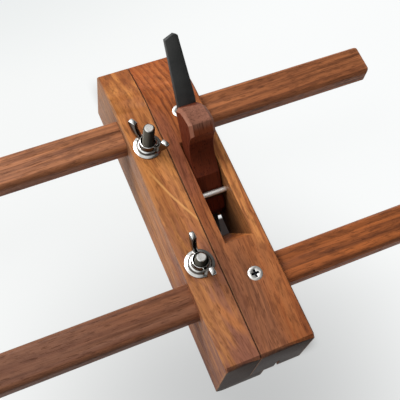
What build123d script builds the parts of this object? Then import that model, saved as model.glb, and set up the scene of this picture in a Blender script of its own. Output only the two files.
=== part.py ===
from build123d import *
from math import cos, radians, sin, tan
import os

# Plough plane, in millimetres.
# X = 0 is the left face of the stock, where the fence meets it, and +X points to the stock's right.
# Y = 0 is half way along the plane, and +Y points to the heel.
# Z = 0 is the level of the skates' lower edges and of the fence's underside.

# Stock and fence, which share one side view
body_length = 232.0
stock_width = 38.0
stock_height = 50.0
skate_drop = 14.0
toe_chamfer = 2.3
heel_slope_run = 31.0
heel_slope_drop = 7.5
heel_slope_blend = 80.0
heel_corner_radius = 4.5
top_edge_chamfer = 1.0
seam_edge_chamfer = 0.2
fence_width = 24.0
fence_edge_radius = 8.0
fence_lip_radius = 1.2
guide_gap = 2.2
seam_gap = 0.2

# Arms, which are fixed in the stock and slide in the fence
arm_length = 340.0
arm_width = 24.5
arm_thickness = 14.0
arm_edge_radius = 4.0
arm_end_radius = 3.5
arm_cover = 6.8
arm_right_reach = 133.0
front_arm_y = -63.8
rear_arm_y = 66.0
arm_seat_gap = 0.05
arm_running_gap = 0.1

# Screws that hold the arms in the stock
arm_screw_diameter = 5.0
arm_screw_head_diameter = 10.0
arm_screw_rim = 0.4
arm_screw_length = 28.0
arm_screw_gap = 0.05
recess_span = 5.6
recess_width = 1.5
recess_depth = 2.2

# Throat, bed and the line on which iron, wedge and skates are centred
blade_line = 19.5
throat_width = 20.0
throat_front = -38.1
mouth_front = -15.5
bed_foot = 0.2
bed_angle = 50.0
bed_gap = 0.05

# Iron
iron_width = 13.2
iron_thickness = 4.0
iron_length = 163.0
iron_set_back = 0.3
iron_bevel_angle = 30.0
tang_length = 46.0
tang_right_inset = 3.7
tang_right_drop = 1.4
tang_left_drop = 2.7
tang_peak_inset = 2.7

# Wedge and the cross pin that it bears on
wedge_pin_diameter = 5.0
wedge_pin_y = 3.7
wedge_pin_z = 50.5
wedge_pin_inset = 0.6
wedge_pin_gap = 0.05
wedge_taper = 5.0
wedge_side_gap = 1.0
wedge_gap = 0.05
wedge_tip_rise = 8.0
wedge_length = 89.0
wedge_tip_cut = 10.3
wedge_hollow_start = 40.0
wedge_waist_height = 52.0
wedge_waist_thickness = 12.2
wedge_brow_height = 74.0
wedge_head_thickness = 24.7
wedge_facet_height = 8.5
wedge_crown_bulge = 1.0
wedge_back_drop = 1.5
wedge_back_depth = 9.0
wedge_head_chamfer = 2.2

# Skates
skate_thickness = 2.5
skate_seat_depth = 12.0
skate_setback = 8.0
skate_nose_radius = 12.0
skate_gap = 0.05
skate_mouth_step = 0.5
mouth_gap = 1.7
skate_pin_diameter = 3.0
skate_pin_inset = 0.6
skate_pin_end_distance = 18.0
rear_skate_pin_distance = 14.0

# Clamps, one beside each arm
clamp_x = -12.0
clamp_offset = 19.0
stud_diameter = 8.0
stud_tip_chamfer = 0.9
front_stud_stand = 12.4
rear_stud_stand = 25.4
stud_hole_gap = 0.3
stud_screw_gap = 0.02
clamp_plate_width = 13.0
clamp_plate_thickness = 5.0
clamp_plate_corner = 3.0
clamp_grip = 6.0
clamp_heel = 8.0
clamp_gap = 0.1
clamp_drop = 2.5
slot_gap = 0.5
washer_diameter = 20.0
washer_thickness = 1.5
washer_hole_gap = 0.2
stack_gap = 0.05

# Wing nuts
nut_boss_diameter = 14.4
nut_height = 6.0
nut_running_gap = 0.05
nut_mouth_diameter = 9.5
wing_reach = 16.2
wing_height = 18.7
wing_top_width = 5.8
wing_thickness = 3.4
wing_round = 0.8
wing_root_step = 1.0
wing_root_height = 1.2
wing_tip_drop = 3.0
wing_belly = 2.0
wing_hollow = 1.3
front_nut_turn = 95.0
rear_nut_turn = 123.0

# Sizes worked out from the ones above
overcut = 1.0
top = skate_drop + stock_height
toe = -body_length / 2
heel = body_length / 2
arm_z = top - arm_cover - arm_thickness / 2
arm_bottom = arm_z - arm_thickness / 2
guide_face = blade_line - iron_width / 2 - guide_gap
lip_top = skate_drop - seam_gap
slot_ceiling = arm_bottom - arm_running_gap
clamp_plate_top = slot_ceiling - clamp_gap
clamp_plate_bottom = clamp_plate_top - clamp_plate_thickness
clamp_reach = clamp_offset - arm_width / 2 + clamp_grip
kerf_top = skate_drop + skate_seat_depth
skate_pin_z = skate_drop + skate_seat_depth / 2
bed_rise = sin(radians(bed_angle))
bed_run = cos(radians(bed_angle))


def bed_y(z):
    """Place of the bed, on which the iron lies, at a height."""
    return bed_foot + (z - skate_drop) / tan(radians(bed_angle))


def breast_y(z):
    """Place of the throat's front wall at a height."""
    return mouth_front + (z - skate_drop) * (throat_front - mouth_front) / stock_height


def iron_face_y(z):
    """Place of the iron's front face at a height."""
    return bed_y(z) - (bed_gap + iron_thickness) / bed_rise


def slab(outline, left, right):
    """Solid with this outline in the side view, between two places across the plane."""
    return extrude(Plane.YZ.offset(left) * outline, right - left)


def corner(shape, y, z):
    """The corner of a flat outline that lies nearest to a point."""
    return shape.vertices().sort_by_distance((y, z))[0]


def side_outline(bottom):
    """Side view of the body from a bottom height to the top: chamfered toe, sloping heel."""
    outline = make_face(
        Polyline(
            (toe, bottom),
            (heel, bottom),
            (heel, top - heel_slope_drop),
            (heel - heel_slope_run, top),
            (toe + toe_chamfer, top),
            (toe, top - toe_chamfer),
            close=True,
        )
    )
    outline = fillet(corner(outline, heel - heel_slope_run, top), heel_slope_blend)
    return fillet(corner(outline, heel, bottom), heel_corner_radius)


def top_edges(body, x):
    """Edges along the top of a body, from toe to heel, on one of its side faces."""
    low = top - max(heel_slope_drop, toe_chamfer) - overcut / 2
    side = body.edges().filter_by_position(Axis.X, x - overcut / 100, x + overcut / 100)
    return side.filter_by(lambda edge: edge.bounding_box().min.Z > low)


def arm_bar(arm_y, left, right, gap):
    """Straight bar with the section of an arm, grown by a gap on every side."""
    section = RectangleRounded(arm_width + 2 * gap, arm_thickness + 2 * gap, arm_edge_radius + gap)
    return slab(Pos(arm_y, arm_z) * section, left, right)


def screw_form(arm_y, gap):
    """Form of a countersunk screw below the top of the stock, grown by a gap for its hole."""
    head = arm_screw_head_diameter / 2 + gap
    shank = arm_screw_diameter / 2 + gap
    neck = -arm_screw_rim - (head - shank)
    tip = -arm_screw_length - gap
    outline = make_face(
        Polyline(
            (0, 0),
            (head, 0),
            (head, -arm_screw_rim),
            (shank, neck),
            (shank, tip),
            (0, tip),
            close=True,
        )
    )
    return Pos(blade_line, arm_y, top) * revolve(Plane.XZ * outline, Axis.Z)


def make_arm_screw(arm_y):
    """Countersunk screw with a cross recess."""
    cross = Rectangle(recess_span, recess_width) + Rectangle(recess_width, recess_span)
    return screw_form(arm_y, 0) - Pos(blade_line, arm_y, top) * extrude(cross, -recess_depth)


def make_arm(arm_y):
    """Flat bar of wood with rounded edges, and with its corners rounded in plan."""
    right = stock_width + arm_right_reach
    left = right - arm_length
    bar = arm_bar(arm_y, left, right, 0)
    plan = Pos((left + right) / 2, arm_y, arm_z) * RectangleRounded(arm_length, arm_width, arm_end_radius)
    bar = bar & extrude(plan, arm_thickness, both=True)
    return bar - screw_form(arm_y, arm_screw_gap)


def throat_space():
    """The space between breast and bed, cut right through the stock."""
    low = skate_drop - overcut
    high = top + overcut
    outline = make_face(
        Polyline(
            (breast_y(low), low),
            (bed_y(low), low),
            (bed_y(high), high),
            (breast_y(high), high),
            close=True,
        )
    )
    return slab(outline, blade_line - throat_width / 2, blade_line + throat_width / 2)


def skate_pin_places():
    """Where the pins of the front and of the rear skate lie along the plane."""
    front_end = mouth_front - rear_skate_pin_distance
    rear_start = bed_y(kerf_top) + rear_skate_pin_distance
    front = (toe + skate_setback + skate_pin_end_distance, front_end)
    rear = (rear_start, heel - skate_setback - skate_pin_end_distance)
    return front, rear


def cross_rod(diameter, inset, y, z):
    """Round rod across the stock, with its ends so far inside the side faces."""
    return slab(Pos(y, z) * Circle(diameter / 2), inset, stock_width - inset)


def skate_pin_set(places):
    """The two pins that cross the stock and a skate."""
    return [cross_rod(skate_pin_diameter, skate_pin_inset, y, skate_pin_z) for y in places]


def skate_pin_holes():
    """Holes for the pins of both skates, right through the stock."""
    width = skate_pin_diameter + 2 * skate_gap
    front, rear = skate_pin_places()
    return [cross_rod(width, -overcut, y, skate_pin_z) for y in front + rear]


def make_stock():
    """Body of the plane, with throat, kerf for the skates and mortises for the arms."""
    stock = slab(side_outline(skate_drop), 0, stock_width)
    stock = chamfer(top_edges(stock, stock_width), top_edge_chamfer)
    stock = chamfer(top_edges(stock, 0), seam_edge_chamfer)
    stock -= throat_space()
    kerf = Rectangle(skate_thickness + 2 * skate_gap, body_length + 2 * overcut)
    low = skate_drop - overcut
    stock -= extrude(Pos(blade_line, 0, low) * kerf, kerf_top + skate_gap - low)
    stock -= skate_pin_holes()
    stock -= cross_rod(wedge_pin_diameter + 2 * wedge_pin_gap, -overcut, wedge_pin_y, wedge_pin_z)
    for arm_y in (front_arm_y, rear_arm_y):
        stock -= arm_bar(arm_y, -overcut, stock_width + overcut, arm_seat_gap)
        stock -= screw_form(arm_y, arm_screw_gap)
    return stock


def stud_y(arm_y, side):
    """A clamp's stud stands beside its arm, on the side towards the other arm."""
    return arm_y + side * clamp_offset


def clamp_block(arm_y, side, left, right, gap, low, high):
    """Flat block as long as a clamp plate, grown by a gap, with rounded corners in plan."""
    length = clamp_reach + clamp_heel + 2 * gap
    plan = RectangleRounded(right - left, length, clamp_plate_corner)
    y = stud_y(arm_y, side) + side * (clamp_heel - clamp_reach) / 2
    return extrude(Pos((left + right) / 2, y, low) * plan, high - low)


def clamp_slot(arm_y, side):
    """Slot for a clamp plate, cut into the fence from the face that lies against the stock."""
    left = clamp_x - clamp_plate_width / 2 - slot_gap
    right = clamp_plate_corner + overcut
    return clamp_block(arm_y, side, left, right, slot_gap, clamp_plate_bottom - clamp_drop, slot_ceiling)


def upright_rod(diameter, arm_y, side, low, high):
    """Round rod on the axis of a clamp's stud."""
    place = Pos(clamp_x, stud_y(arm_y, side), low)
    return extrude(place * Circle(diameter / 2), high - low)


def make_fence():
    """L-shaped bar: the lip reaches under the stock, and its edge is the face that guides the plane."""
    left = -fence_width
    section = make_face(
        Polyline(
            (left, 0),
            (guide_face, 0),
            (guide_face, lip_top),
            (-seam_gap, lip_top),
            (-seam_gap, top),
            (left, top),
            close=True,
        )
    )
    section = fillet(corner(section, left, 0), fence_edge_radius)
    section = fillet(corner(section, guide_face, 0), fence_lip_radius)
    section = fillet(corner(section, guide_face, lip_top), fence_lip_radius)
    fence = extrude(Plane.XZ * section, body_length, both=True)
    fence = fence & slab(side_outline(0), left - overcut, guide_face + overcut)
    fence = chamfer(top_edges(fence, left), top_edge_chamfer)
    fence = chamfer(top_edges(fence, -seam_gap), seam_edge_chamfer)
    for arm_y, side in ((front_arm_y, 1), (rear_arm_y, -1)):
        fence -= arm_bar(arm_y, left - overcut, overcut, arm_running_gap)
        fence -= clamp_slot(arm_y, side)
        hole = stud_diameter + 2 * stud_hole_gap
        fence -= upright_rod(hole, arm_y, side, slot_ceiling - overcut, top + overcut)
    return fence


def make_skate(outline):
    """Steel plate set on edge in the sole of the stock, with holes for its pins."""
    plate = slab(outline, blade_line - skate_thickness / 2, blade_line + skate_thickness / 2)
    return plate - skate_pin_holes()


def make_front_skate():
    """Skate before the mouth: rounded nose, and a tail that stands off from the iron."""
    nose = toe + skate_setback
    tail = mouth_front - skate_mouth_step
    heel_of_edge = iron_face_y(0) - mouth_gap
    outline = make_face(
        Polyline(
            (nose, 0),
            (heel_of_edge, 0),
            (tail, (tail - heel_of_edge) * tan(radians(bed_angle))),
            (tail, skate_drop),
            (breast_y(kerf_top) - skate_mouth_step, kerf_top),
            (nose, kerf_top),
            close=True,
        )
    )
    return make_skate(fillet(corner(outline, nose, 0), skate_nose_radius))


def make_rear_skate():
    """Skate behind the mouth: its front edge goes on from the bed and carries the iron."""
    tail = heel - skate_setback
    outline = make_face(
        Polyline(
            (bed_y(0), 0),
            (tail, 0),
            (tail, kerf_top),
            (bed_y(kerf_top), kerf_top),
            close=True,
        )
    )
    return make_skate(fillet(corner(outline, tail, 0), skate_nose_radius))


def bed_frame(z):
    """Plane on the iron's back at a height: first axis across, second up along the bed."""
    back = bed_gap / bed_rise
    return Plane((blade_line, bed_y(z) - back, z), x_dir=(1, 0, 0), z_dir=(0, -bed_rise, bed_run))


def make_iron():
    """Narrow steel bar with a ground edge below and a tapered tang with clipped corners above."""
    half = iron_width / 2
    shoulder = iron_length - tang_length
    outline = make_face(
        Polyline(
            (-half, 0),
            (half, 0),
            (half, shoulder),
            (half - tang_right_inset, iron_length - tang_right_drop),
            (half - tang_right_inset - tang_peak_inset, iron_length),
            (-half, iron_length - tang_left_drop),
            close=True,
        )
    )
    foot = bed_frame(iron_set_back - iron_thickness * bed_run)
    bar = extrude(foot * outline, iron_thickness)
    edge_y = iron_face_y(iron_set_back)
    slope = radians(bed_angle - iron_bevel_angle)
    ground = Plane((blade_line, edge_y, iron_set_back), x_dir=(1, 0, 0), z_dir=(0, -sin(slope), cos(slope)))
    return split(bar, bisect_by=ground, keep=Keep.TOP)


def make_wedge_pin():
    """Round steel bar through both cheeks of the throat."""
    return cross_rod(wedge_pin_diameter, wedge_pin_inset, wedge_pin_y, wedge_pin_z)


def bed_point(along, out):
    """Side view point so far up along the iron's front face and so far out in front of it."""
    y = iron_face_y(skate_drop) + along * bed_run - out * bed_rise
    return y, skate_drop + along * bed_rise + out * bed_run


def distance_from_iron(y, z):
    """How far in front of the iron's face a side view point lies."""
    return (z - skate_drop) * bed_run - (y - iron_face_y(skate_drop)) * bed_rise


def distance_along_iron(y, z):
    """How far up along the iron's face a side view point lies."""
    return (z - skate_drop) * bed_rise + (y - iron_face_y(skate_drop)) * bed_run


def wedge_front(along):
    """Thickness of the wedge so far up along the iron: its front face rests on the cross pin."""
    slope = radians(wedge_taper)
    at_pin = distance_along_iron(wedge_pin_y, wedge_pin_z)
    reach = distance_from_iron(wedge_pin_y, wedge_pin_z) - (wedge_pin_diameter / 2 + wedge_gap) / cos(slope)
    return reach + (along - at_pin) * tan(slope)


def wedge_outline():
    """Side view of the wedge: chisel tip, taper, hollow neck, brow and crowned head."""
    tip = wedge_tip_rise
    cut = tip + wedge_tip_cut
    neck = tip + wedge_hollow_start
    brow = tip + wedge_brow_height
    head = tip + wedge_length
    tip_point = bed_point(tip, wedge_gap)
    neck_point = bed_point(neck, wedge_front(neck))
    brow_point = bed_point(brow, wedge_head_thickness)
    front_point = bed_point(brow + wedge_facet_height, wedge_head_thickness)
    crown_point = bed_point(
        (brow + wedge_facet_height + head) / 2 + wedge_crown_bulge,
        (wedge_head_thickness + wedge_back_depth) / 2 + wedge_crown_bulge,
    )
    head_point = bed_point(head, wedge_back_depth)
    back_point = bed_point(head - wedge_back_drop, wedge_gap)
    taper = Polyline(tip_point, bed_point(cut, wedge_front(cut)), neck_point)
    waist = bed_point(tip + wedge_waist_height, wedge_waist_thickness)
    hollow = ThreePointArc(neck_point, waist, brow_point)
    facet = Line(brow_point, front_point)
    crown = ThreePointArc(front_point, crown_point, head_point)
    back = Polyline(head_point, back_point, tip_point)
    return make_face(taper + hollow + facet + crown + back)


def make_wedge():
    """Tapered wedge between iron and cross pin: its head overhangs a hollow neck, and is chamfered."""
    half = throat_width / 2 - wedge_side_gap
    wedge = slab(wedge_outline(), blade_line - half, blade_line + half)
    brow = wedge_tip_rise + wedge_brow_height
    sides = wedge.edges().filter_by(lambda edge: abs(edge.center().X - blade_line) > half - overcut / 10)
    rim = sides.filter_by(
        lambda edge: distance_along_iron(edge.center().Y, edge.center().Z) > brow
        and distance_from_iron(edge.center().Y, edge.center().Z) > overcut
    )
    return chamfer(rim, wedge_head_chamfer)


def make_clamp_plate(arm_y, side):
    """Steel strap, threaded for its stud, that is pulled up against the underside of the arm."""
    left = clamp_x - clamp_plate_width / 2
    right = clamp_x + clamp_plate_width / 2
    plate = clamp_block(arm_y, side, left, right, 0, clamp_plate_bottom, clamp_plate_top)
    hole = stud_diameter + 2 * stud_screw_gap
    return plate - upright_rod(hole, arm_y, side, clamp_plate_bottom - overcut, clamp_plate_top + overcut)


def make_clamp_stud(arm_y, side, stand):
    """Threaded stud, screwed into its strap from above, with a chamfered tip."""
    stud = upright_rod(stud_diameter, arm_y, side, clamp_plate_bottom, top + stand)
    return chamfer(stud.edges().sort_by(Axis.Z)[-1], stud_tip_chamfer)


def make_washer(arm_y, side):
    """Flat round washer on top of the fence."""
    low = top + stack_gap
    high = low + washer_thickness
    disc = upright_rod(washer_diameter, arm_y, side, low, high)
    hole = stud_diameter + 2 * washer_hole_gap
    return disc - upright_rod(hole, arm_y, side, low - overcut, high + overcut)


def nut_boss():
    """Body of a wing nut: round boss with a countersunk bore."""
    bore = stud_diameter / 2 + nut_running_gap
    mouth = nut_mouth_diameter / 2
    outline = make_face(
        Polyline(
            (bore, 0),
            (nut_boss_diameter / 2, 0),
            (nut_boss_diameter / 2, nut_height),
            (mouth, nut_height),
            (bore, nut_height - (mouth - bore)),
            close=True,
        )
    )
    return revolve(Plane.XZ * outline, Axis.Z)


def nut_wing():
    """One wing: it leaves the boss low, curves outwards and ends in a broad rounded top."""
    root = (nut_mouth_diameter + nut_boss_diameter) / 4
    inner = wing_reach - wing_top_width
    root_top = nut_height - wing_root_step
    outer_end = (wing_reach, wing_height - wing_tip_drop)
    inner_end = (inner, wing_height - wing_round)
    under = ThreePointArc(
        (root, wing_root_height),
        ((root + wing_reach) / 2 + wing_belly, (wing_root_height + outer_end[1]) / 2 - wing_belly),
        outer_end,
    )
    tip = Polyline(outer_end, (wing_reach - wing_round, wing_height), inner_end)
    over = ThreePointArc(
        inner_end,
        ((root + inner) / 2 + wing_hollow, (root_top + inner_end[1]) / 2 - wing_hollow),
        (root, root_top),
    )
    close = Line((root, root_top), (root, wing_root_height))
    return extrude(Plane.XZ * make_face(under + tip + over + close), wing_thickness / 2, both=True)


def make_wing_nut(arm_y, side, turn):
    """Boss and two wings, turned to the way it was left when the clamp was tight."""
    wing = nut_wing()
    nut = nut_boss() + wing + Rot(0, 0, 180) * wing
    z = top + 2 * stack_gap + washer_thickness
    return Pos(clamp_x, stud_y(arm_y, side), z) * Rot(0, 0, turn) * nut


def make_parts():
    """Every piece of the plane, by the name of its node."""
    front_pins, rear_pins = skate_pin_places()
    return {
        "stock": make_stock(),
        "fence": make_fence(),
        "front_arm": make_arm(front_arm_y),
        "rear_arm": make_arm(rear_arm_y),
        "front_arm_screw": make_arm_screw(front_arm_y),
        "rear_arm_screw": make_arm_screw(rear_arm_y),
        "iron": make_iron(),
        "wedge": make_wedge(),
        "wedge_pin": make_wedge_pin(),
        "front_skate": make_front_skate(),
        "rear_skate": make_rear_skate(),
        "front_skate_pins": Compound(skate_pin_set(front_pins)),
        "rear_skate_pins": Compound(skate_pin_set(rear_pins)),
        "front_clamp_plate": make_clamp_plate(front_arm_y, 1),
        "rear_clamp_plate": make_clamp_plate(rear_arm_y, -1),
        "front_clamp_stud": make_clamp_stud(front_arm_y, 1, front_stud_stand),
        "rear_clamp_stud": make_clamp_stud(rear_arm_y, -1, rear_stud_stand),
        "front_washer": make_washer(front_arm_y, 1),
        "rear_washer": make_washer(rear_arm_y, -1),
        "front_wing_nut": make_wing_nut(front_arm_y, 1, front_nut_turn),
        "rear_wing_nut": make_wing_nut(rear_arm_y, -1, rear_nut_turn),
    }


os.makedirs("parts", exist_ok=True)
for name, solid in make_parts().items():
    export_step(solid, f"parts/{name}.step")
    box = solid.bounding_box()
    print(name, round(solid.volume), box.min, box.max)
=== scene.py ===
from math import radians

import bpy
from mathutils import Matrix, Vector


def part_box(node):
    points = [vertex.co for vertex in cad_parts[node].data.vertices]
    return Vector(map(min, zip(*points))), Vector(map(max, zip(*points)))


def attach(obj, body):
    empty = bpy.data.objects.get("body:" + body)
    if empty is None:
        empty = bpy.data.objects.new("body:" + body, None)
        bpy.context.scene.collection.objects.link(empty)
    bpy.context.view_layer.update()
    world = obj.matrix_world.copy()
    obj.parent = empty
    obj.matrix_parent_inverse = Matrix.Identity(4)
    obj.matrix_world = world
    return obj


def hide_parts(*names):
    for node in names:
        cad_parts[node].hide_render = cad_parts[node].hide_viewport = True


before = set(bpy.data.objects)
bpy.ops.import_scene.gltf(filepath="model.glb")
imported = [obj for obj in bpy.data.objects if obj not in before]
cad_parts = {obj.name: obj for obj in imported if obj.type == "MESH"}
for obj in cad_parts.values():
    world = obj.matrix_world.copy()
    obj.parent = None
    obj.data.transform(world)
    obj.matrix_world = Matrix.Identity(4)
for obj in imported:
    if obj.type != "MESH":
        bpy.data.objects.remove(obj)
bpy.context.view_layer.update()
bpy.ops.object.select_all(action="DESELECT")

# Picture: the plane is seen from above, over the left front corner of its fence. The eye, the way
# it looks and the way up were worked out from the plane's straight edges.
eye = Vector((-0.1253, -0.1914, 0.5452))
looking = Vector((0.24642, 0.35324, -0.90250)).normalized()
up = Vector((0.31672, 0.85073, 0.41946))
film_width = 36.0
focal_length = 71.44
bpy.ops.object.camera_add(location=eye)
camera = bpy.context.object
camera.name = "camera"
camera.data.sensor_width = film_width
camera.data.lens = focal_length
camera.data.clip_start = 0.01
right = looking.cross(up).normalized()
level = right.cross(looking)
camera.matrix_world = Matrix.Translation(eye) @ Matrix((right, level, -looking)).transposed().to_4x4()
bpy.context.scene.camera = camera
bpy.context.scene.view_settings.view_transform = "Standard"

# Card: the matt white card that the plane lies on. It shows white to the eye, but takes real shadow
# under the plane. Before the toe a soft shadow is painted on it, far behind it is painted a little
# greyer, below the mouth lies a patch of painted shade, and through the mouth shows a painted bright
# spot.


class Shade:
    """A socket of a material. Sums and products of such sockets add the Math nodes for them."""

    def __init__(self, socket):
        self.socket = socket

    def node(self, kind, settings=None, inputs=None, output=0):
        """Add a node: its settings come first, then the values or links of its sockets."""
        tree = self.socket.id_data
        made = tree.nodes.new(kind)
        for name, value in (settings or {}).items():
            setattr(made, name, value)
        for name, value in (inputs or {}).items():
            if isinstance(value, Shade):
                tree.links.new(value.socket, made.inputs[name])
            else:
                made.inputs[name].default_value = value
        return Shade(made.outputs[output])

    def maths(self, operation, *values):
        return self.node("ShaderNodeMath", {"operation": operation}, dict(enumerate(values)))

    def __add__(self, other):
        return self.maths("ADD", self, other)

    def __radd__(self, other):
        return self.maths("ADD", other, self)

    def __sub__(self, other):
        return self.maths("SUBTRACT", self, other)

    def __rsub__(self, other):
        return self.maths("SUBTRACT", other, self)

    def __mul__(self, other):
        return self.maths("MULTIPLY", self, other)

    def __rmul__(self, other):
        return self.maths("MULTIPLY", other, self)

    def size(self):
        """This value without its sign."""
        return self.maths("ABSOLUTE", self)

    def root(self):
        """The square root of this value."""
        return self.maths("SQRT", self)

    def fraction(self):
        """What is left of this value without its whole part."""
        return self.maths("FRACT", self)

    def at_least(self, other):
        """The larger of two values."""
        return self.maths("MAXIMUM", self, other)

    def step(self, low, high):
        """0 below low, 1 above high, and smooth between them."""
        inputs = {"Value": self, "From Min": low, "From Max": high}
        return self.node("ShaderNodeMapRange", {"interpolation_type": "SMOOTHSTEP"}, inputs)

    def within(self, low, high, blur):
        """1 between two values and 0 outside them."""
        return self.step(low - blur, low + blur) * (1 - self.step(high - blur, high + blur))

    def tint(self, low, high):
        """The colour low where this value is 0, and high where it is 1."""
        first_colour, second_colour, mixed_colour = 6, 7, 2
        low = low if isinstance(low, Shade) else (*low, 1.0)
        high = high if isinstance(high, Shade) else (*high, 1.0)
        inputs = {"Factor": self, first_colour: low, second_colour: high}
        return self.node("ShaderNodeMix", {"data_type": "RGBA"}, inputs, output=mixed_colour)

    def noise(self, scale, detail=3.0, roughness=0.5):
        """Noise at this place, so many times to the metre."""
        inputs = {"Vector": self, "Scale": scale, "Detail": detail, "Roughness": roughness}
        return self.node("ShaderNodeTexNoise", None, inputs)

    def moved(self, scale=(1, 1, 1), turn=(0, 0, 0), move=(0, 0, 0)):
        """This place, stretched, turned by degrees and then moved."""
        turn = tuple(radians(angle) for angle in turn)
        inputs = {"Vector": self, "Location": move, "Rotation": turn, "Scale": scale}
        return self.node("ShaderNodeMapping", {"vector_type": "POINT"}, inputs)

    def pushed(self, x, z):
        """This place, pushed aside by amounts that vary."""
        push = self.node("ShaderNodeCombineXYZ", None, {"X": x, "Z": z})
        return self.node("ShaderNodeVectorMath", {"operation": "ADD"}, {0: self, 1: push})

    def axis(self, name):
        """One of the three numbers of this place."""
        return self.node("ShaderNodeSeparateXYZ", None, {"Vector": self}, output="XYZ".index(name))

    def facing(self, name):
        """How far the surface looks along an axis here, from -1 to 1."""
        normal = 1
        return self.node("ShaderNodeTexCoord", output=normal).axis(name)

    def relief(self, strength, depth):
        """A Bump node with this value as its height."""
        inputs = {"Strength": strength, "Distance": depth, "Height": self}
        return self.node("ShaderNodeBump", None, inputs)


def new_finish(name):
    """A bare material: returns it, its main shader and the place on the piece."""
    material = bpy.data.materials.new(name)
    material.use_nodes = True
    shader = material.node_tree.nodes["Principled BSDF"]
    place = Shade(material.node_tree.nodes.new("ShaderNodeTexCoord").outputs["Object"])
    return material, shader, place


def feed(shader, name, value):
    """Link a value to one of the main shader's sockets."""
    shader.id_data.links.new(value.socket, shader.inputs[name])


card_size = 6.0
fade_left = (-0.0242, -0.0140)
fade_right = (0.045, 0.062)
fade_toe = (-0.116, -0.106)
fade_heel = (0.130, 0.155)
shadow_middle = (-0.010, -0.140)
shadow_reach = 0.20
left_white = (0.940, 0.955, 0.950)
right_white = (0.985, 1.000, 0.998)
far_white = (0.830, 0.857, 0.857)
shadow_grey = (0.560, 0.568, 0.568)
painted_mouth_shade = (0.150, 0.096, 0.084)
bpy.ops.mesh.primitive_plane_add(size=card_size)
card = bpy.context.object
card.name = "card"
pale_card, shader, place = new_finish("pale_card")
across = place.axis("X")
along = place.axis("Y")
under = across.step(*fade_left) * (1 - across.step(*fade_right))
under = under * along.step(*fade_toe) * (1 - along.step(*fade_heel))
# A painted bright spot: here the card under the stock keeps its white.
painted_bright_spot = across.within(0.0285, 0.0350, 0.001) * along.within(0.0028, 0.0085, 0.001)
# A patch of painted shade on the card below the mouth.
below_mouth = across.within(0.0250, 0.0355, 0.003) * along.within(-0.0160, 0.0025, 0.0015)
plain = place.noise(3.0, 2.0).tint((0.60, 0.60, 0.60), (0.66, 0.66, 0.66))
feed(shader, "Base Color", below_mouth.tint(plain, painted_mouth_shade))
shader.inputs["Roughness"].default_value = 0.95
shader.inputs["Specular IOR Level"].default_value = 0.1
to_right = across.step(-0.10, 0.20)
paper = to_right.tint(left_white, right_white)
far = along.step(0.15, 0.27) * (0.95 - to_right * 0.70)
paper = far.tint(paper, far_white)
# A soft painted shadow on the card before the toe.
shadow_x = across - shadow_middle[0]
shadow_y = along - shadow_middle[1]
shadow = 1 - (shadow_x * shadow_x + shadow_y * shadow_y).root().step(0.0, shadow_reach)
paper = shadow.tint(paper, shadow_grey)
glow = place.node("ShaderNodeEmission", None, {"Color": paper, "Strength": 1.0})
nodes = pale_card.node_tree.nodes
path = nodes.new("ShaderNodeLightPath")
seen, mirrored, through = (
    Shade(path.outputs[ray]) for ray in ("Is Camera Ray", "Is Glossy Ray", "Is Transmission Ray")
)
share = seen.at_least(mirrored).at_least(through) * (0.93 - 0.91 * under * (1 - painted_bright_spot))
mixed = place.node("ShaderNodeMixShader", None, {0: share, 1: Shade(shader.outputs[0]), 2: glow})
pale_card.node_tree.links.new(mixed.socket, nodes["Material Output"].inputs["Surface"])
card.data.materials.append(pale_card)

# Light: one wide lamp high over the heel and the left side, a faint one over the left, and an even
# room. Bright metal mirrors a window over the left side, and little from behind the toe.
for lamp_name, power, width, at in (
    ("lamp_over_heel", 17.0, 0.9, (-0.55, 0.70, 0.95)),
    ("lamp_over_left", 1.1, 0.9, (-1.0, -0.15, 0.8)),
):
    bpy.ops.object.light_add(type="AREA", location=at)
    lamp = bpy.context.object
    lamp.name = lamp_name
    lamp.data.size = width
    lamp.data.energy = power
    lamp.rotation_euler = (-Vector(at)).to_track_quat("-Z", "Y").to_euler()

room_dim = (0.07, 0.07, 0.075)
room_bright = (0.42, 0.42, 0.42)
mirrored_dim = (0.10, 0.095, 0.090)
mirrored_bright = (1.0, 1.0, 1.0)
beyond_card = (0.875, 0.890, 0.888)
room = bpy.data.worlds.new("room")
bpy.context.scene.world = room
room.use_nodes = True
way = Shade(room.node_tree.nodes.new("ShaderNodeTexCoord").outputs["Generated"])
path = room.node_tree.nodes.new("ShaderNodeLightPath")
overhead = way.axis("Z") * 0.85 + way.axis("Y") * 0.45 - way.axis("X") * 0.20
window = way.axis("Z") * 0.45 + way.axis("Y") * 0.30 - way.axis("X") * 0.75
air = overhead.step(-0.35, 0.95).tint(room_dim, room_bright)
air = Shade(path.outputs["Is Camera Ray"]).tint(air, beyond_card)
image = window.step(0.08, 0.52).tint(mirrored_dim, mirrored_bright)
air = Shade(path.outputs["Is Glossy Ray"]).tint(air, image)
feed(room.node_tree.nodes["Background"], "Color", air)

# Stock: the body, cut from one block of dark red wood, with a throat chopped through it for iron
# and wedge, mortises for the arms and a kerf in its sole for the skates. It is oiled, not varnished.


def select_only(piece):
    """Select this piece alone and make it the active one."""
    bpy.ops.object.select_all(action="DESELECT")
    piece.select_set(True)
    bpy.context.view_layer.objects.active = piece


def finish_with(piece, kind, **settings):
    """Add a modifier to a piece and apply it."""
    modifier = piece.modifiers.new(kind.lower(), kind)
    for name, value in settings.items():
        setattr(modifier, name, value)
    select_only(piece)
    bpy.ops.object.modifier_apply(modifier=modifier.name)


def edit_all(piece):
    """Go into edit mode with all of a piece selected."""
    select_only(piece)
    bpy.ops.object.mode_set(mode="EDIT")
    bpy.ops.mesh.select_all(action="SELECT")


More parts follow.
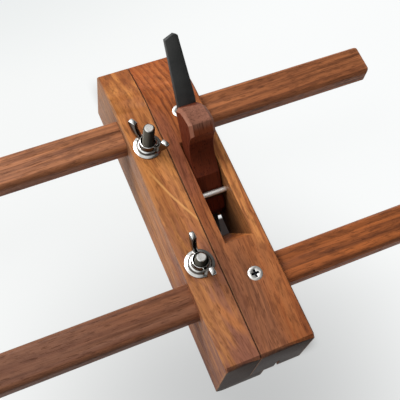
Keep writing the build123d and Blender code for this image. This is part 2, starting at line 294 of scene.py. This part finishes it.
def eased_copy(node, edge, segments=2, smooth=30):
    """A copy of a piece with its faces joined up and its sharp corners eased."""
    piece = bpy.data.objects.new(node + "_dressed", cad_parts[node].data.copy())
    bpy.context.scene.collection.objects.link(piece)
    edit_all(piece)
    bpy.ops.mesh.remove_doubles(threshold=1e-6)
    bpy.ops.mesh.dissolve_limited(angle_limit=radians(0.4))
    bpy.ops.object.mode_set(mode="OBJECT")
    corners = {"limit_method": "ANGLE", "angle_limit": radians(50), "use_clamp_overlap": True}
    finish_with(piece, "BEVEL", width=edge, segments=segments, **corners)
    bpy.ops.object.shade_smooth_by_angle(angle=radians(smooth))
    return piece


def cover(piece, material):
    """Give a piece this finish and no other."""
    piece.data.materials.clear()
    piece.data.materials.append(material)


def stand_in(piece, node, body, material):
    """Give a piece its finish, put it in a node's place and let it move with a body."""
    cover(piece, material)
    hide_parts(node)
    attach(piece, body)


class Grain:
    """The figure of a board: rings round its heart, and streaks, flecks, fibres and pores along Y.

    The place is turned first, so that Y follows the fibres. The heart is the middle of the tree, as
    X and Z. A bow is where along the board the fibres begin to fan out, and how strongly they do.
    """

    def __init__(self, place, turn, sway, ring_gap, heart, bow=(0.0, 0.0)):
        turned = place.moved(turn=turn)
        drift = turned.moved((16.0, 6.0, 16.0)).noise(1.0, 2.0) - 0.5
        ripple = turned.moved((60.0, 26.0, 60.0)).noise(1.0, 2.0) - 0.5
        push = drift * (2.0 * sway) + ripple * (0.35 * sway)
        past = (turned.axis("Y") - bow[0]).at_least(0.0)
        self.board = turned.pushed(push + past * past * bow[1], push * 0.8)
        across = self.board.axis("X") - heart[0]
        deep = self.board.axis("Z") - heart[1]
        rings = (across * across + deep * deep).root() * (1.0 / ring_gap)
        growth = rings.fraction()
        self.rings = growth.step(0.35, 0.88) * (1 - growth.step(0.90, 0.99))
        self.clouds = self.drawn_out(44.0, 6.0).step(0.34, 0.66)
        self.patches = self.drawn_out(120.0, 17.0, move=(3, 5, 8))
        self.streaks = self.drawn_out(260.0, 9.0)
        self.lines = self.drawn_out(430.0, 10.0, roughness=0.55, move=(7, 1, 2))
        self.flecks = self.drawn_out(340.0, 85.0, roughness=0.65, move=(4, 2, 6))
        self.fibres = self.drawn_out(1500.0, 45.0, detail=2.0)
        self.pores = self.drawn_out(1500.0, 120.0, detail=1.0, roughness=0.4, move=(2, 9, 4))

    def drawn_out(self, across, along, detail=3.0, roughness=0.6, move=(0, 0, 0)):
        """Noise so many times to the metre across the fibres, and so many along them."""
        return self.board.moved((across, along, across), move=move).noise(1.0, detail, roughness)

    def sunk(self, colour, deep, lines=0.6, pores=0.6, flecks=0.42):
        """Draw the dark flecks, lines, fibres and pores into a colour."""
        darkest = tuple(0.4 * part for part in deep)
        colour = (self.flecks.step(0.48, 0.66) * flecks).tint(colour, deep)
        colour = (self.lines.step(0.54, 0.72) * lines).tint(colour, deep)
        colour = (self.fibres.step(0.40, 0.75) * 0.22).tint(colour, deep)
        return (self.pores.step(0.61, 0.70) * pores).tint(colour, darkest)

    def oiled(self, shader, colour, shine, gloss=0.15):
        """Give the wood its colour, and the low sheen and fine relief of oiled, open grain."""
        pore_depth = 0.00022
        open_pores = self.pores.step(0.60, 0.70)
        height = self.fibres * 0.35 + self.streaks * 0.25 - open_pores * 0.9
        feed(shader, "Base Color", colour)
        feed(shader, "Roughness", shine + 0.14 * self.fibres + 0.2 * open_pores)
        feed(shader, "Normal", height.relief(0.4, pore_depth))
        shader.inputs["Specular IOR Level"].default_value = gloss


def near_edges(place, node, reach):
    """1 along the edges of the box round a node, and 0 away from them."""
    close = []
    for name, low, high in zip("XYZ", *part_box(node)):
        away = (place.axis(name) - (low + high) / 2).size()
        close.append(away.step((high - low) / 2 - reach, (high - low) / 2))
    x, y, z = close
    return (x * z).at_least(y * z).at_least(x * y)


def seam_line(place, near, away):
    """1 on the upward faces of a piece between two distances across, where wax and dust gather."""
    return place.axis("X").step(near, away) * place.facing("Z").step(0.3, 0.6)


def looking_along(place, name, low=0.75, high=0.92):
    """1 on faces that look along an axis, either way. On end faces the fibres are cut across."""
    return place.facing(name).size().step(low, high)


red_brown = (0.340, 0.092, 0.027)
light_brown = (0.540, 0.180, 0.052)
dark_patches = (0.240, 0.066, 0.022)
ring_brown = (0.180, 0.042, 0.013)
heel_red = (0.400, 0.090, 0.018)
mauve_brown = (0.330, 0.106, 0.056)
cheek_orange = (0.800, 0.325, 0.096)
toe_brown = (0.285, 0.124, 0.070)
toe_streaks = (0.110, 0.044, 0.026)
toe_orange = (0.400, 0.150, 0.052)
pore_brown = (0.095, 0.026, 0.011)
end_grain_and_shade = (0.018, 0.010, 0.007)
throat_shade_brown = (0.068, 0.036, 0.018)
pale_edge_colour = (0.560, 0.250, 0.100)
seam_black = (0.030, 0.012, 0.008)
stock_wood, shader, place = new_finish("stock_rosewood")
grain = Grain(place, (1.5, 0, 2.0), sway=0.0075, ring_gap=0.0036, heart=(0.060, 0.095), bow=(0.045, 3.2))
along = place.axis("Y")
across = place.axis("X")
heel_end = along.step(0.035, 0.085)
left_of_throat = along.within(0.000, 0.072, 0.016) * (1 - across.step(0.006, 0.014))
right_cheek = along.within(-0.045, 0.070, 0.010) * across.step(0.024, 0.031)
toe_left = (1 - along.step(-0.075, 0.005)) * (1 - across.step(0.014, 0.027))
toe_right = (1 - along.step(-0.060, -0.020)) * across.within(0.022, 0.033, 0.004)
# End faces are painted near black: partly the dark of end grain, partly painted shade.
end_grain_and_shade_mask = looking_along(place, "Y") * (1 - along.within(-0.100, 0.100, 0.002))
# Painted shade on the throat's walls, darker deeper down.
throat_shade = looking_along(place, "X") * across.within(0.0100, 0.0350, 0.0010)
throat_shade = throat_shade * along.within(-0.050, 0.090, 0.002) * (1 - place.axis("Z").step(0.034, 0.066) * 0.45)
colour = grain.clouds.tint(red_brown, light_brown)
colour = (grain.patches.step(0.46, 0.66) * 0.75).tint(colour, dark_patches)
colour = (grain.rings * (0.18 + 0.56 * heel_end)).tint(colour, ring_brown)
colour = (heel_end * 0.35).tint(colour, heel_red)
colour = (left_of_throat * grain.patches.step(0.36, 0.56) * 0.75).tint(colour, mauve_brown)
colour = (right_cheek * grain.streaks.step(0.30, 0.60) * 0.80).tint(colour, cheek_orange)
colour = (toe_left * 0.62).tint(colour, toe_brown)
colour = (toe_left * grain.streaks.step(0.45, 0.65) * 0.5).tint(colour, toe_streaks)
colour = (toe_right * grain.streaks.step(0.30, 0.60) * 0.6).tint(colour, toe_orange)
colour = grain.sunk(colour, pore_brown, pores=0.4)
colour = (end_grain_and_shade_mask * 0.93).tint(colour, end_grain_and_shade)
colour = (throat_shade * 0.86).tint(colour, throat_shade_brown)
pale_edges = near_edges(place, "stock", 0.0013) * grain.streaks.step(0.25, 0.60)
colour = (pale_edges * 0.5).tint(colour, pale_edge_colour)
colour = (seam_line(place, 0.0006, 0.0002) * 0.9).tint(colour, seam_black)
grain.oiled(shader, colour, 0.44)
stand_in(eased_copy("stock", 0.00035), "stock", "root", stock_wood)

# Fence: an L-shaped bar of a paler, wavy board of the same wood. Its lip reaches under the stock,
# and it slides along the arms. Its left side is painted greyer towards the heel, as a painted
# reflection of the bright room.
warm_brown = (0.455, 0.150, 0.040)
golden_brown = (0.640, 0.262, 0.070)
dark_patches = (0.275, 0.080, 0.024)
ring_brown = (0.215, 0.060, 0.018)
toe_mauve = (0.285, 0.118, 0.080)
middle_gold = (0.780, 0.340, 0.098)
lick_orange = (0.520, 0.185, 0.055)
vein_gold = (0.720, 0.350, 0.115)
pore_brown = (0.120, 0.034, 0.013)
end_grain_and_shade = (0.020, 0.011, 0.007)
pale_edge_colour = (0.600, 0.280, 0.115)
seam_black = (0.035, 0.014, 0.009)
side_reflection_grey = (0.200, 0.125, 0.076)
fence_wood, shader, place = new_finish("fence_rosewood")
grain = Grain(place, (3, 0, -5), sway=0.0110, ring_gap=0.0062, heart=(-0.070, 0.110))
along = place.axis("Y")
across = place.axis("X")
toe_end = (1 - along.step(-0.045, 0.030)) * (0.45 + 0.55 * grain.patches.step(0.40, 0.58))
middle = along.within(-0.035, 0.045, 0.012) * grain.streaks.step(0.35, 0.60)
lick = (across + along * 0.40 + 0.0410 + grain.clouds * 0.002).size()
lick = (1 - lick.step(0.0010, 0.0042)) * along.within(-0.097, -0.074, 0.006)
vein = (across + along * 0.43 - along * along * 2.6 + 0.0072 + grain.patches * 0.0016).size()
vein = (1 - vein.step(0.0002, 0.0013)) * along.within(-0.018, 0.026, 0.006)
# A painted reflection: the left side turns greyer towards the heel.
left_side_reflection = (0 - place.facing("X")).step(0.5, 0.8) * along.step(-0.020, 0.070)
colour = grain.clouds.tint(warm_brown, golden_brown)
colour = (grain.patches.step(0.44, 0.62) * 0.8).tint(colour, dark_patches)
colour = (grain.rings * 0.42).tint(colour, ring_brown)
colour = (toe_end * 0.74).tint(colour, toe_mauve)
colour = (middle * 0.34).tint(colour, middle_gold)
colour = (lick * 0.75).tint(colour, lick_orange)
colour = grain.sunk(colour, pore_brown, lines=0.45, pores=0.35)
colour = (vein * 0.75).tint(colour, vein_gold)
# End faces are painted near black: partly the dark of end grain, partly painted shade.
colour = (looking_along(place, "Y") * 0.92).tint(colour, end_grain_and_shade)
pale_edges = near_edges(place, "fence", 0.0015) * grain.streaks.step(0.25, 0.60)
colour = (pale_edges * 0.5).tint(colour, pale_edge_colour)
colour = (seam_line(place, -0.0008, -0.0004) * 0.9).tint(colour, seam_black)
colour = (left_side_reflection * 0.55).tint(colour, side_reflection_grey)
grain.oiled(shader, colour, 0.42)
stand_in(eased_copy("fence", 0.00035), "fence", "fence_body", fence_wood)

# Arms: two flat bars of straight-grained dark wood, planed, with well rounded edges. They are let
# into the stock, held there by a screw each, and carry the fence.
ring_brown = (0.110, 0.036, 0.017)
streak_brown = (0.130, 0.042, 0.020)
pore_brown = (0.080, 0.026, 0.012)
end_brown = (0.060, 0.024, 0.014)
pale_edge_colour = (0.420, 0.200, 0.110)
for node, light, dark, left_end_shade, turn in (
    ("front_arm", (0.530, 0.156, 0.043), (0.325, 0.096, 0.030), (0.135, 0.072, 0.047), 91.2),
    ("rear_arm", (0.540, 0.192, 0.070), (0.350, 0.118, 0.045), (0.390, 0.156, 0.067), 89.2),
):
    arm_wood, shader, place = new_finish(node + "_rosewood")
    grain = Grain(place, (0, 0, turn), sway=0.0022, ring_gap=0.0043, heart=(0.030, 0.125))
    colour = grain.clouds.tint(dark, light)
    # The left end of each arm is painted darker, as shade.
    colour = ((1 - place.axis("X").step(-0.03, 0.04)) * 0.7).tint(colour, left_end_shade)
    colour = (grain.rings * 0.50).tint(colour, ring_brown)
    colour = (grain.streaks.step(0.48, 0.66) * 0.45).tint(colour, streak_brown)
    colour = grain.sunk(colour, pore_brown, pores=0.4)
    colour = (looking_along(place, "X") * 0.6).tint(colour, end_brown)
    pale_edges = near_edges(place, node, 0.0030) * grain.streaks.step(0.25, 0.60)
    colour = (pale_edges * 0.35).tint(colour, pale_edge_colour)
    grain.oiled(shader, colour, 0.42)
    stand_in(eased_copy(node, 0.0003), node, "root", arm_wood)

# Arm screws: bright plated wood screws with a cross recess, driven through the top of the stock
# into the arms. Their heads lie flush, and the recesses are painted near black, partly wax and
# partly painted shade.


def plated(name, dark, bright, rough):
    """Worn bright plating, with clouds, fine scratches and dull spots, and its colour still loose."""
    material, shader, place = new_finish(name)
    scratch_depth = 0.00005
    cloud = place.noise(150.0, 4.0, 0.6)
    scratches = place.moved((1.0, 0.3, 1.0)).noise(2600.0, 3.0, 0.6)
    feed(shader, "Roughness", rough + 0.20 * (cloud - 0.5) + 0.08 * scratches)
    feed(shader, "Normal", (scratches + cloud * 0.6).relief(0.16, scratch_depth))
    shader.inputs["Metallic"].default_value = 1.0
    return material, shader, place, cloud.step(0.32, 0.66).tint(dark, bright)


wax_and_shade = (0.020, 0.020, 0.024)
wax_and_shade_level = (0.0633, 0.0637)
dull_screw = (0.74, 0.73, 0.70)
clean_screw = (0.90, 0.89, 0.86)
screw_plate, shader, place, colour = plated("screw_plate", dull_screw, clean_screw, 0.34)
# The recesses are painted near black: partly wax, partly painted shade.
in_recess = 1 - place.axis("Z").step(*wax_and_shade_level)
feed(shader, "Base Color", in_recess.tint(colour, wax_and_shade))
for node in ("front_arm_screw", "rear_arm_screw"):
    stand_in(eased_copy(node, 0.00018), node, "root", screw_plate)

# Skates and their pins: two ground steel plates that stand in a kerf in the sole and carry the
# plane along the groove. Each is held by two steel pins driven across the stock.
dark_steel = (0.36, 0.35, 0.34)
light_steel = (0.58, 0.57, 0.55)
ground_steel, shader, place, colour = plated("ground_steel", dark_steel, light_steel, 0.34)
feed(shader, "Base Color", colour)
for node in ("front_skate", "rear_skate", "front_skate_pins", "rear_skate_pins"):
    cover(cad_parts[node], ground_steel)

# Wedge pin: the cross pin that the wedge bears on, a bright drawn rod driven through both cheeks.
# Its underside is painted dark, as shade.
dull_steel = (0.86, 0.84, 0.80)
clean_steel = (0.96, 0.94, 0.91)
underside_shade = (0.070, 0.060, 0.050)
drawn_steel, shader, place, colour = plated("drawn_steel", dull_steel, clean_steel, 0.40)
# Painted shade: the downward faces of the pin are darkened.
underside = 1 - place.facing("Z").step(0.45, 0.80)
feed(shader, "Base Color", underside.tint(colour, underside_shade))
cover(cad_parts["wedge_pin"], drawn_steel)

# Iron: a narrow forged bar, black from the fire, with its tang filed to a taper. The ground bevel
# at its foot is bare steel.
dark_scale = (0.022, 0.023, 0.023)
light_scale = (0.066, 0.068, 0.066)
scale_depth = 0.0002
bare_steel = (0.420, 0.410, 0.400)
forged_black, shader, place = new_finish("forged_black")
fine_scale = place.noise(420.0, 5.0, 0.65)
patches = place.noise(90.0, 3.0, 0.5)
bare = 1 - place.axis("Z").step(0.0075, 0.0085)
colour = (bare * 0.9).tint(patches.tint(dark_scale, light_scale), bare_steel)
feed(shader, "Base Color", colour)
feed(shader, "Roughness", 0.44 + 0.2 * fine_scale)
feed(shader, "Normal", (fine_scale + patches).relief(0.5, scale_depth))
feed(shader, "Metallic", 0.35 + 0.6 * bare)
stand_in(eased_copy("iron", 0.0004), "iron", "iron_body", forged_black)

# Wedge: a tapered tongue of dark purplish wood with a crowned head, knocked in between iron and
# cross pin. Its neck is hollowed for the shavings. The top of its head is painted pale mauve as sheen,
# its brow is painted lighter and its neck an even painted shade, as light falls on them.
bed_angle = 50
dark_wedge = (0.130, 0.026, 0.011)
light_wedge = (0.185, 0.040, 0.016)
ring_brown = (0.075, 0.016, 0.009)
neck_shade_brown = (0.165, 0.034, 0.014)
brow_light_brown = (0.330, 0.090, 0.036)
crown_sheen_mauve = (0.275, 0.121, 0.079)
pore_brown = (0.050, 0.014, 0.010)
pale_edge_colour = (0.430, 0.215, 0.145)
wedge_wood, shader, place = new_finish("wedge_rosewood")
grain = Grain(place, (-bed_angle, 0, 0), sway=0.0020, ring_gap=0.0034, heart=(0.070, 0.030))
height = place.axis("Z")
front = (0 - place.facing("Y")).step(0.30, 0.60)
above_neck = height.step(0.0800, 0.0830)
crown_sheen = height.step(0.0870, 0.0925) * place.facing("Z").step(0.60, 0.72)
# The chamfered edges of the head, above the neck, are coloured paler.
pale_edges = place.facing("X").size().within(0.45, 0.90, 0.06) * height.step(0.066, 0.070)
colour = grain.clouds.tint(dark_wedge, light_wedge)
colour = (grain.rings * 0.30).tint(colour, ring_brown)
# The front faces are painted as light falls on them: an even painted shade on the neck, a lighter brow.
colour = (front * (1 - above_neck) * 0.70).tint(colour, neck_shade_brown)
colour = (front * above_neck * 0.60).tint(colour, brow_light_brown)
# The top faces of the head are painted a pale mauve, as sheen.
colour = (crown_sheen * 0.9).tint(colour, crown_sheen_mauve)
colour = grain.sunk(colour, pore_brown, lines=0.5, flecks=0.2)
colour = (pale_edges * 0.45).tint(colour, pale_edge_colour)
grain.oiled(shader, colour, 0.46, gloss=0.05)
stand_in(eased_copy("wedge", 0.00045, smooth=20), "wedge", "wedge_body", wedge_wood)

# Clamp plates: the steel straps inside the fence that the studs, screwed into them, pull up
# against the arms. They are plated, as are the washers and wing nuts.
dull_plate = (0.52, 0.52, 0.50)
clean_plate = (0.78, 0.78, 0.76)
plate_rough = 0.09
bright_plate, shader, place, colour = plated("bright_plate", dull_plate, clean_plate, plate_rough)
feed(shader, "Base Color", colour)
for node in ("front_clamp_plate", "rear_clamp_plate"):
    cover(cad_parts[node], bright_plate)

# Studs: rods with a rolled thread of 1.25 mm pitch and a chamfered tip. The thread starts just
# below the top of the fence, and under it the rod is plain. All but the tip is painted dark, partly as
# oil and partly as the shade and dim reflections on the rod.


def turned(name, profile, cap=False):
    """A piece turned round the Z axis: each point of its profile is a radius and a height."""
    radius, height = profile[0]
    round_of = {"vertices": 64, "fill_type": "NGON" if cap else "NOTHING"}
    bpy.ops.object.select_all(action="DESELECT")
    bpy.ops.mesh.primitive_circle_add(radius=radius, location=(0, 0, height), **round_of)
    piece = bpy.context.object
    piece.name = name
    bpy.ops.object.transform_apply(location=True)
    edit_all(piece)
    for next_radius, next_height in profile[1:]:
        rise = {"value": (0, 0, next_height - height)}
        ratio = next_radius / radius
        bpy.ops.mesh.extrude_region_move(TRANSFORM_OT_translate=rise)
        bpy.ops.transform.resize(value=(ratio, ratio, 1), center_override=(0, 0, next_height))
        radius, height = next_radius, next_height
    bpy.ops.mesh.select_all(action="SELECT")
    bpy.ops.mesh.remove_doubles(threshold=1e-6)
    bpy.ops.mesh.normals_make_consistent(inside=False)
    bpy.ops.object.mode_set(mode="OBJECT")
    return piece


def drawn(name, start, moves):
    """A line drawn from a starting point by a list of moves, left in edit mode."""
    bpy.ops.object.select_all(action="DESELECT")
    bpy.ops.mesh.primitive_plane_add(size=0.001)
    piece = bpy.context.object
    piece.name = name
    edit_all(piece)
    bpy.ops.mesh.merge(type="CENTER")
    bpy.ops.transform.translate(value=start)
    for move in moves:
        bpy.ops.mesh.extrude_region_move(TRANSFORM_OT_translate={"value": move})
    return piece


def combine(piece, other, operation):
    """Join, cut or trim a piece with another one, which is used up."""
    finish_with(piece, "BOOLEAN", operation=operation, object=other, solver="EXACT")
    bpy.data.objects.remove(other)


def placed(piece, name, at, turn=0.0):
    """A copy of a piece, turned round Z by degrees and moved to its place."""
    copy = bpy.data.objects.new(name, piece.data.copy())
    bpy.context.scene.collection.objects.link(copy)
    copy.data.transform(Matrix.Translation(at) @ Matrix.Rotation(radians(turn), 4, "Z"))
    select_only(copy)
    bpy.ops.object.shade_smooth_by_angle(angle=radians(35))
    return copy


def middle_of(node, height):
    """The middle of a node's box, seen from above, at this height."""
    low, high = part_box(node)
    return (low[0] + high[0]) / 2, (low[1] + high[1]) / 2, height


pitch = 0.00125
crest_radius = 0.0040
root_radius = 0.0033
sleeve_radius = 0.00402
thread_start = 0.0600
shank_top = 0.0621
off_step = 0.013 * pitch
dull_stud = (0.66, 0.65, 0.62)
clean_stud = (0.82, 0.81, 0.78)
oil_and_shade = (0.066, 0.061, 0.050)
for node in ("front_clamp_stud", "rear_clamp_stud"):
    low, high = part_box(node)
    bottom, top = low[2], high[2]
    turns = int((top - thread_start) / pitch) + 4
    tooth = ((crest_radius - root_radius, 0.40), (0, 0.10), (root_radius - crest_radius, 0.40), (0, 0.10))
    moves = [(out, 0, rise * pitch) for out, rise in tooth]
    stud = drawn("stud", (root_radius, 0, thread_start - pitch), moves)
    bpy.ops.object.mode_set(mode="OBJECT")
    finish_with(stud, "SCREW", screw_offset=pitch, iterations=turns, steps=40, render_steps=40)
    edit_all(stud)
    bpy.ops.mesh.remove_doubles(threshold=1e-6)
    for turn, side in ((1, "clear_inner"), (turns - 2, "clear_outer")):
        cut = {"plane_co": (0, 0, thread_start + turn * pitch + off_step), "plane_no": (0, 0, 1)}
        bpy.ops.mesh.select_all(action="SELECT")
        bpy.ops.mesh.bisect(**cut, use_fill=True, threshold=1e-7, **{side: True})
    bpy.ops.mesh.select_all(action="SELECT")
    bpy.ops.mesh.normals_make_consistent(inside=False)
    bpy.ops.object.mode_set(mode="OBJECT")
    sleeve = ((sleeve_radius, thread_start), (sleeve_radius, top - 0.0013))
    tip = (*sleeve, (0.0027, top - 0.0001), (0.0026, top))
    combine(stud, turned("tip", tip, cap=True), "INTERSECT")
    shank = ((0.0038, bottom), (crest_radius, bottom + 0.0002), (crest_radius, shank_top))
    combine(stud, turned("shank", shank, cap=True), "UNION")
    whole = placed(stud, node + "_dressed", middle_of(node, 0))
    bpy.data.objects.remove(stud)
    stud_plate, shader, place, colour = plated(node + "_plate", dull_stud, clean_stud, 0.26)
    # All below the tip is painted dark: partly oil, partly the shade and dim reflections on the rod.
    below_tip = 1 - place.axis("Z").step(top - 0.0006, top - 0.0003)
    feed(shader, "Base Color", below_tip.tint(colour, oil_and_shade))
    stand_in(whole, node, "fence_body", stud_plate)

# Washers: rings stamped from steel sheet and plated, with their edges rounded over on one side by
# the punch. They lie loose on the fence under the nuts, and round the nuts' feet they are darker,
# partly oil where the nuts turn and partly painted shade.


def in_metres(outline):
    """The points of an outline in millimetres, as metres."""
    return [(radius / 1000, height / 1000) for radius, height in outline]


outline = (
    (4.2, 0), (9.8, 0), (10, 0.2), (10, 0.7), (9.7, 0.95),
    (7.2, 1.3), (4.6, 1.5), (4.2, 1.3), (4.2, 0),
)
nut_rests = (0.06519, 0.06524)
oil_and_shade = (0.120, 0.110, 0.095)
washer_plate, shader, place, colour = plated("washer_plate", dull_plate, clean_plate, plate_rough)
# Round the nut's foot the washer is darker: partly oil, partly painted shade.
under_nut = place.axis("Z").step(*nut_rests)
feed(shader, "Base Color", under_nut.tint(colour, oil_and_shade))
washer = turned("washer", in_metres(outline))
for node in ("front_washer", "rear_washer"):
    ring = placed(washer, node + "_dressed", middle_of(node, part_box(node)[0][2]))
    stand_in(ring, node, "fence_body", washer_plate)
bpy.data.objects.remove(washer)

# Wing nuts: cast and plated. A coned boss stands on a round foot and has a countersunk mouth, and
# two wings sweep out from it and up to broad rounded tops. Their sides are painted dark, as the
# shade and dim reflections on them.
boss = (
    (4.05, 0), (6.9, 0), (7.2, 0.25), (7.2, 0.9), (6.95, 1.2), (6.3, 1.5), (5.95, 5.3),
    (5.7, 5.85), (5.35, 6.0), (5.0, 5.85), (4.75, 5.5), (4.05, 4.6), (4.05, 0),
)
outline = (
    (4.7, 1.3), (6.9, 1.7), (9.2, 3.2), (11.4, 5.7), (13.3, 8.9), (14.9, 12.4), (15.9, 15.4),
    (16.2, 16.9), (16.0, 18.0), (15.2, 18.55), (13.4, 18.7), (11.6, 18.5), (10.7, 18.0),
    (10.3, 17.0), (9.9, 14.6), (9.1, 11.6), (7.9, 8.8), (6.5, 6.7), (5.4, 5.8), (4.7, 5.2),
)
wing_thickness = 0.0034
wing_round = 0.0007
clamp_x = -0.012
above_foot = (0.0664, 0.0667)
side_shade = (0.110, 0.088, 0.070)
radius, height = outline[0]
first = (radius / 1000, -wing_thickness / 2, height / 1000)
moves = []
for next_radius, next_height in outline[1:]:
    moves.append(((next_radius - radius) / 1000, 0, (next_height - height) / 1000))
    radius, height = next_radius, next_height
wing = drawn("wing", first, moves)
bpy.ops.mesh.select_all(action="SELECT")
bpy.ops.mesh.edge_face_add()
bpy.ops.mesh.extrude_region_move(TRANSFORM_OT_translate={"value": (0, wing_thickness, 0)})
bpy.ops.mesh.select_all(action="SELECT")
bpy.ops.mesh.normals_make_consistent(inside=False)
bpy.ops.object.mode_set(mode="OBJECT")
finish_with(wing, "BEVEL", width=wing_round, segments=3, limit_method="ANGLE", angle_limit=radians(45))
other_wing = placed(wing, "other_wing", (0, 0, 0), 180)
nut = turned("nut", in_metres(boss))
combine(nut, wing, "UNION")
combine(nut, other_wing, "UNION")
nut_plate, shader, place, colour = plated("nut_plate", dull_plate, clean_plate, plate_rough)
# The sides are painted dark, as the shade and dim reflections on them.
sides = (1 - looking_along(place, "Z", 0.35, 0.65)) * place.axis("Z").step(*above_foot)
feed(shader, "Base Color", sides.tint(colour, side_shade))
for node, body, clamp_y, turn in (
    ("front_wing_nut", "front_nut_body", -0.0448, 95.0),
    ("rear_wing_nut", "rear_nut_body", 0.0470, 123.0),
):
    whole = placed(nut, node + "_dressed", (clamp_x, clamp_y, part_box(node)[0][2]), turn)
    stand_in(whole, node, body, nut_plate)
bpy.data.objects.remove(nut)
